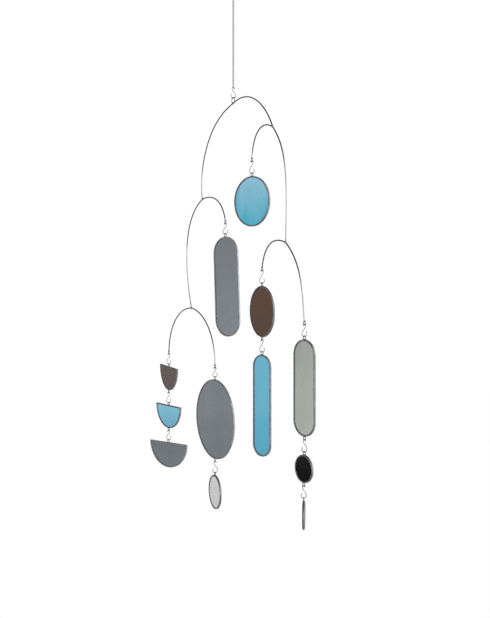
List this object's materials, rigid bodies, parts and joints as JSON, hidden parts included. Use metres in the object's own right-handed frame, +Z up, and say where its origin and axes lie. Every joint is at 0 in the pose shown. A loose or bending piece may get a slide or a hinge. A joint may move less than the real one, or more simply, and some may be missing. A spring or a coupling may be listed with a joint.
{
  "type": "hanging suncatcher",
  "caption": "Hanging suncatcher of coloured glass panes in metal rims, hung by wire hooks from bent rods under a fine chain.",
  "frame": {"origin": "where a ceiling hook bears, on the inner top of the hanging ring", "axes": "+Z up along the chain; X lies in the plane that the bent rods share, with the chain at X 0; +Y is square to that plane"},
  "size_m": [0.5047, 0.036, 0.8067],
  "materials": {
    "bright_wire": "drawn steel wire, bright",
    "rod_steel": "drawn steel rod, satin",
    "rim_solder": "tinned metal edging, dull grey with bright edges",
    "blue_glass": "sea-blue sheet glass, smooth, faint streaks",
    "grey_glass": "smoke-grey sheet glass, smooth",
    "brown_glass": "dark amber-brown sheet glass, smooth",
    "black_glass": "near-black sheet glass, glossy",
    "green_glass": "pale grey-green sheet glass, smooth",
    "pale_glass": "pale clear-grey sheet glass, smooth"
  },
  "bodies": {
    "root": {"hanging_ring": "bright_wire", "jump_ring": "bright_wire", "chain": "bright_wire", "chain_hook": "bright_wire", "top_arm": "rod_steel", "right_arm": "rod_steel", "left_arm": "rod_steel", "lower_left_arm": "rod_steel", "lower_right_arm": "rod_steel", "blue_round_hook": "bright_wire", "blue_round_rim": "rim_solder", "blue_round_glass": "blue_glass", "grey_long_hook": "bright_wire", "grey_long_rim": "rim_solder", "grey_long_glass": "grey_glass", "brown_half_hook": "bright_wire", "brown_half_rim": "rim_solder", "brown_half_glass": "brown_glass", "blue_half_hook": "bright_wire", "blue_half_rim": "rim_solder", "blue_half_glass": "blue_glass", "grey_half_hook": "bright_wire", "grey_half_rim": "rim_solder", "grey_half_glass": "grey_glass", "grey_large_hook": "bright_wire", "grey_large_rim": "rim_solder", "grey_large_glass": "grey_glass", "pale_small_hook": "bright_wire", "pale_small_rim": "rim_solder", "pale_small_glass": "pale_glass", "brown_round_hook": "bright_wire", "brown_round_rim": "rim_solder", "brown_round_glass": "brown_glass", "blue_long_hook": "bright_wire", "blue_long_rim": "rim_solder", "blue_long_glass": "blue_glass", "green_long_hook": "bright_wire", "green_long_rim": "rim_solder", "green_long_glass": "green_glass", "black_round_hook": "bright_wire", "black_round_rim": "rim_solder", "black_round_glass": "black_glass", "last_round_hook": "bright_wire", "last_round_rim": "rim_solder", "last_round_glass": "brown_glass"}
  },
  "joints": []
}
